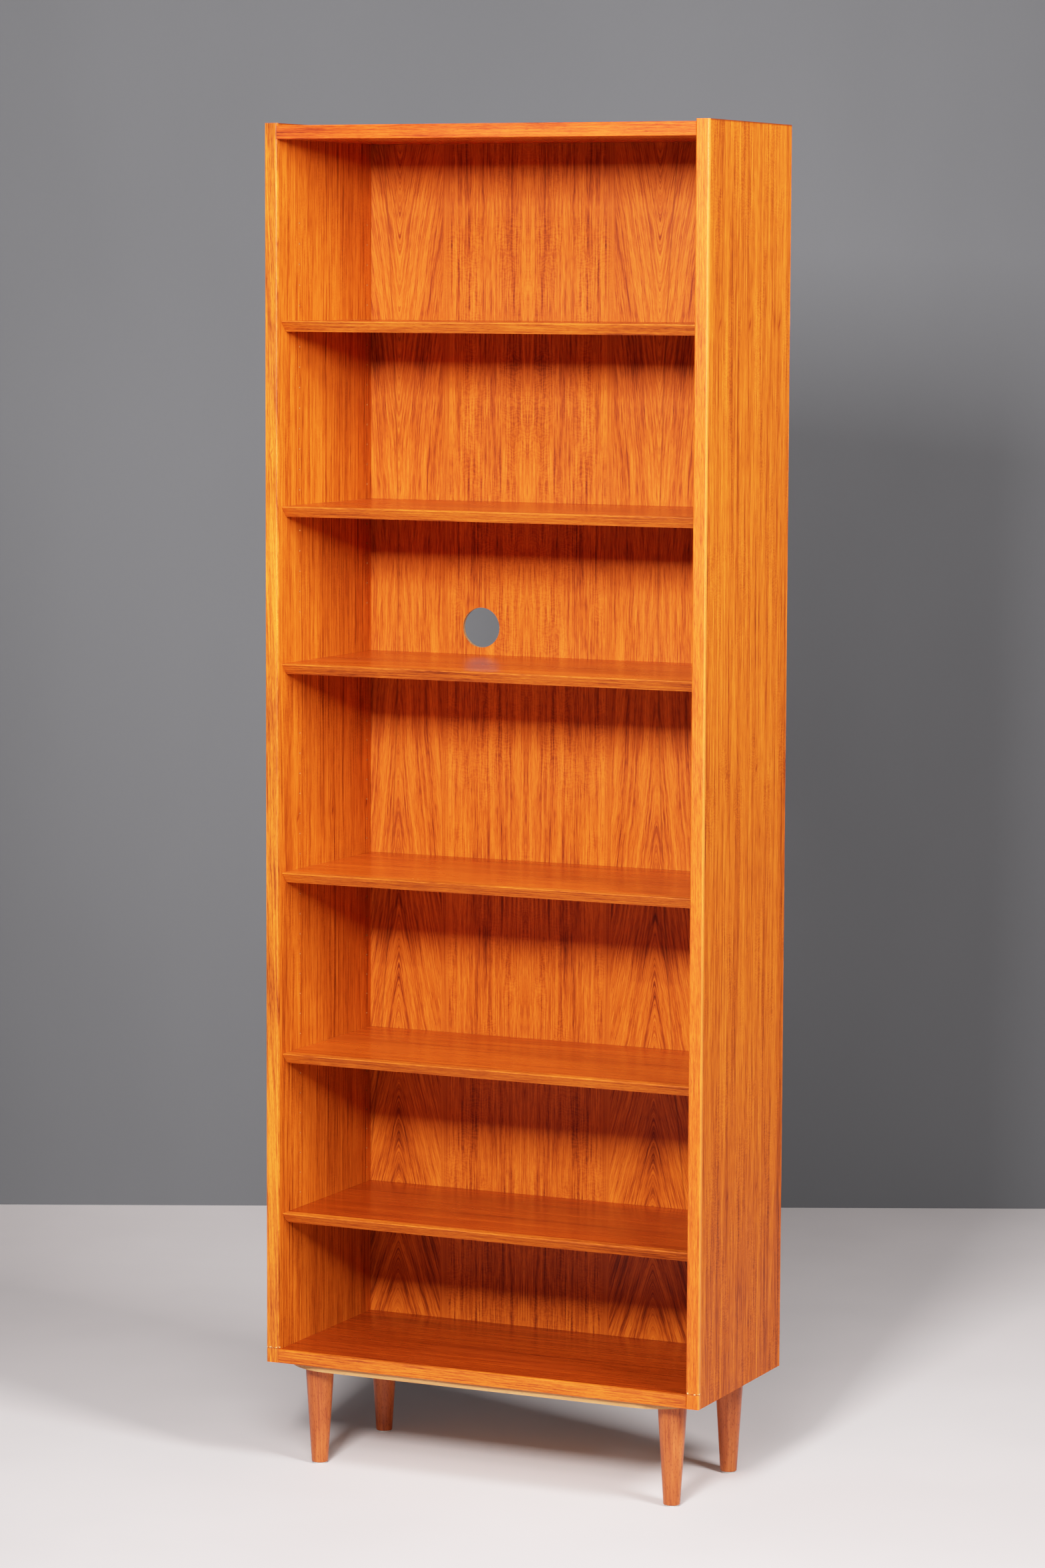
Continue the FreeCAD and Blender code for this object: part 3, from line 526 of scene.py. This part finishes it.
def dress_bookcase():
    """Choose each node's material by its name; what is left over is a plain board."""
    boards = board_veneer("teak_board", 11.0, 0.80, 0.86)
    # painted shade: the bottom board and the lowest shelf get a darker, redder veneer for the dimmer light
    # low in the case
    shaded_low_boards = board_veneer("teak_board_painted_shade", 19.0, 0.62, 0.56)
    level = solid_teak("teak_edge_level", "level_edge", 37.0, 0.66, 0.98, 0.004, contrast=1.3)
    low_edge = solid_teak("teak_edge_bottom", "level_edge", 39.0, 0.98, 1.12, 0.004, contrast=1.1)
    shelf_edge = solid_teak("teak_edge_shelf", "level_edge", 41.0, 1.0, 0.95, 0.004)
    plain = solid_teak(
        "teak_edge_right", "upright", 33.0, 0.90, 1.18, 0.012, contrast=0.55, spliced=True
    )
    flame = solid_teak(
        "teak_edge_left", "upright", 31.0, 1.13, 1.09,
        flame=0.0024, contrast=1.6, knots=LIPPING_KNOTS, spliced=True,
    )
    wire = steel("shelf_wire", (0.62, 0.62, 0.61), 0.22)
    zinc = steel("zinc_plate", (0.56, 0.55, 0.50), 0.34)
    dowel = small_beech("beech_dowel", "level_edge", 70.0, BEECH, BEECH_FLECK, 0.6, 0.2)
    plate = small_beech("beech_plate", "level", 80.0, TANNED, BEECH_FLECK, 0.55, 0.2)
    leg = small_beech("stained_beech", "upright", 60.0, STAINED, STAINED_FLECK, 0.36, 0.18)
    glide = glide_plastic()
    by_ending = {
        "_leg": leg,
        "_glide": glide,
        "_wire": wire,
        "_dowels": dowel,
        "_screws": zinc,
        "leg_bolts": zinc,
        "leg_nuts": zinc,
        "top_lipping": level,
        "bottom_lipping": low_edge,
        "shelf_lipping": shelf_edge,
        "base_plate": plate,
        # painted shade: these two boards take the darkened veneer
        "bottom_panel": shaded_low_boards,
        "shelf_5": shaded_low_boards,
        "back_panel": back_veneer(),
        "left_side_panel": side_veneer("teak_side_left", 2.0, 0.96, LEFT_KNOTS, LEFT_BANDS, 0.03),
        "right_side_panel": side_veneer("teak_side_right", 4.0, 1.07, RIGHT_KNOTS, RIGHT_BANDS, 0.07),
    }
    for node in NODES:
        if node.startswith("left_") and node.endswith("lipping"):
            dress(node, flame)
        elif node.startswith("right_") and node.endswith("lipping"):
            dress(node, plain)
        elif node.startswith("shelf_") and node.endswith("lipping"):
            dress(node, shelf_edge)
        else:
            endings = [ending for ending in by_ending if node.endswith(ending)]
            dress(node, by_ending[endings[0]] if endings else boards)


# ---------------------------------------------------------------- studio

CAMERA_PLACE = Vector((2.8942, -6.2441, 1.7701))
CAMERA_YAW = 0.43461
CAMERA_PITCH = -0.10764
CAMERA_ROLL = 0.00414
LENS_MM = 108.151
SENSOR_MM = 36.0
WALL_DISTANCE = 8.863
FLOOR_SPAN = 60.0
WALL_HALF = 7.0
WALL_HEIGHT = 7.0
FLOOR_COLOUR = (0.67, 0.605, 0.60)
WALL_COLOUR = (0.083, 0.082, 0.087)
BRIGHTEST = 4.0         # the light that is shown as white


def facing(yaw, pitch, roll):
    """Turn of a camera that looks along +Y, swung left by yaw and tipped up by pitch."""
    level = Matrix.Rotation(math.pi / 2, 3, "X")
    tipped = Matrix.Rotation(pitch, 3, "X") @ Matrix.Rotation(-roll, 3, "Y") @ level
    return Matrix.Rotation(yaw, 3, "Z") @ tipped


def add_camera():
    data = bpy.data.cameras.new("camera")
    data.lens = LENS_MM
    data.sensor_width = SENSOR_MM
    data.sensor_fit = "AUTO"
    data.clip_start = 0.05
    data.clip_end = 200.0
    camera = bpy.data.objects.new("camera", data)
    turn = facing(CAMERA_YAW, CAMERA_PITCH, CAMERA_ROLL)
    camera.matrix_world = Matrix.Translation(CAMERA_PLACE) @ turn.to_4x4()
    bpy.context.scene.collection.objects.link(camera)
    bpy.context.scene.camera = camera


def plain_sheet(name, colour, roughness):
    """A studio surface with a little unevenness, clear from behind."""
    g = Graph(name)
    x, y, z = g.axes()
    cloud = g.noise(x, y, z, 1.7, 1.7, 4.0, 1.0)
    grit = g.noise(x, y, z, 260.0, 260.0, 2.0, 2.0)
    shade = tuple(part * 0.93 for part in colour)
    surface = g.node("ShaderNodeBsdfPrincipled", {
        "Base Color": g.mix(g.step(cloud, 0.35, 0.7), colour, shade),
        "Roughness": g.mul_add(grit, 0.1, roughness),
        "Specular IOR Level": 0.3,
    })
    clear = g.node("ShaderNodeBsdfTransparent")
    back = g.node("ShaderNodeNewGeometry").outputs["Backfacing"]
    both = g.node("ShaderNodeMixShader", {0: back, 1: surface.outputs["BSDF"], 2: clear.outputs[0]})
    return g.finish(both.outputs[0])


def add_sheet(name, corners, material):
    mesh = bpy.data.meshes.new(name)
    mesh.from_pydata(corners, [], [tuple(range(len(corners)))])
    mesh.materials.append(material)
    sheet = bpy.data.objects.new(name, mesh)
    bpy.context.scene.collection.objects.link(sheet)


def add_studio():
    """A wide floor, and a wall square to the camera behind the bookcase."""
    half = FLOOR_SPAN / 2
    floor = [(-half, -half, 0.0), (half, -half, 0.0), (half, half, 0.0), (-half, half, 0.0)]
    add_sheet("studio_floor", floor, plain_sheet("pale_floor", FLOOR_COLOUR, 0.55))
    ahead = Vector((-math.sin(CAMERA_YAW), math.cos(CAMERA_YAW), 0.0))
    side = Vector((ahead.y, -ahead.x, 0.0))
    foot = Vector((CAMERA_PLACE.x, CAMERA_PLACE.y, 0.0)) + ahead * WALL_DISTANCE
    left = foot - side * WALL_HALF
    right = foot + side * WALL_HALF
    rise = Vector((0.0, 0.0, WALL_HEIGHT))
    wall = [left, right, right + rise, left + rise]
    add_sheet("studio_wall", wall, plain_sheet("grey_wall", WALL_COLOUR, 0.8))


def add_softbox(name, place, aim, size, power, beam=180.0):
    """A square lamp; a narrow beam (degrees) lights its aim and leaves the rest dimmer."""
    data = bpy.data.lights.new(name, "AREA")
    data.shape = "SQUARE"
    data.size = size
    data.energy = power
    data.spread = math.radians(beam)
    light = bpy.data.objects.new(name, data)
    light.location = place
    light.rotation_mode = "QUATERNION"
    light.rotation_quaternion = (aim - place).to_track_quat("-Z", "Y")
    bpy.context.scene.collection.objects.link(light)


def add_lights():
    head = Vector((0.0, 0.0, 2.1))
    add_softbox("right_softbox", Vector((3.0, -1.3, 3.1)), Vector((0.0, 0.0, 1.5)), 1.0, 275.0)
    add_softbox("right_spot", Vector((4.0, -1.65, 2.6)), head, 1.0, 27.0, 50.0)
    add_softbox("front_spot", Vector((0.75, -4.1, 2.75)), Vector((0.0, 0.0, 1.7)), 0.8, 112.0, 75.0)
    add_softbox("overhead", Vector((0.6, -2.8, 3.0)), Vector((0.3, -1.2, 0.0)), 1.4, 70.0)
    add_softbox("floor_spot", Vector((1.1, -2.9, 2.3)), Vector((0.8, -1.9, 0.0)), 1.2, 60.0, 110.0)
    add_softbox("rear_fill", Vector((2.6, 4.4, 2.6)), Vector((0.0, 0.15, 1.1)), 1.4, 34.0, 60.0)
    world = bpy.data.worlds.new("studio_world")
    world.use_nodes = True
    world.node_tree.nodes["Background"].inputs["Color"].default_value = (1.0, 1.0, 1.0, 1.0)
    world.node_tree.nodes["Background"].inputs["Strength"].default_value = 0.01
    bpy.context.scene.world = world


def expose_like_film():
    """Let bright tones roll off gently instead of clipping: shown = 1 - exp(-light)."""
    view = bpy.context.scene.view_settings
    view.view_transform = "Standard"
    view.use_curve_mapping = True
    mapping = view.curve_mapping
    mapping.white_level = (BRIGHTEST,) * 3
    curve = mapping.curves[3]
    inner = [0.01, 0.03, 0.07, 0.13, 0.22, 0.35, 0.55, 0.78]
    for part in inner:
        curve.points.new(part, 1 - math.exp(-BRIGHTEST * part))
    curve.points[-1].location = (1.0, 1 - math.exp(-BRIGHTEST))
    mapping.update()


dress_bookcase()
add_studio()
add_camera()
add_lights()
expose_like_film()
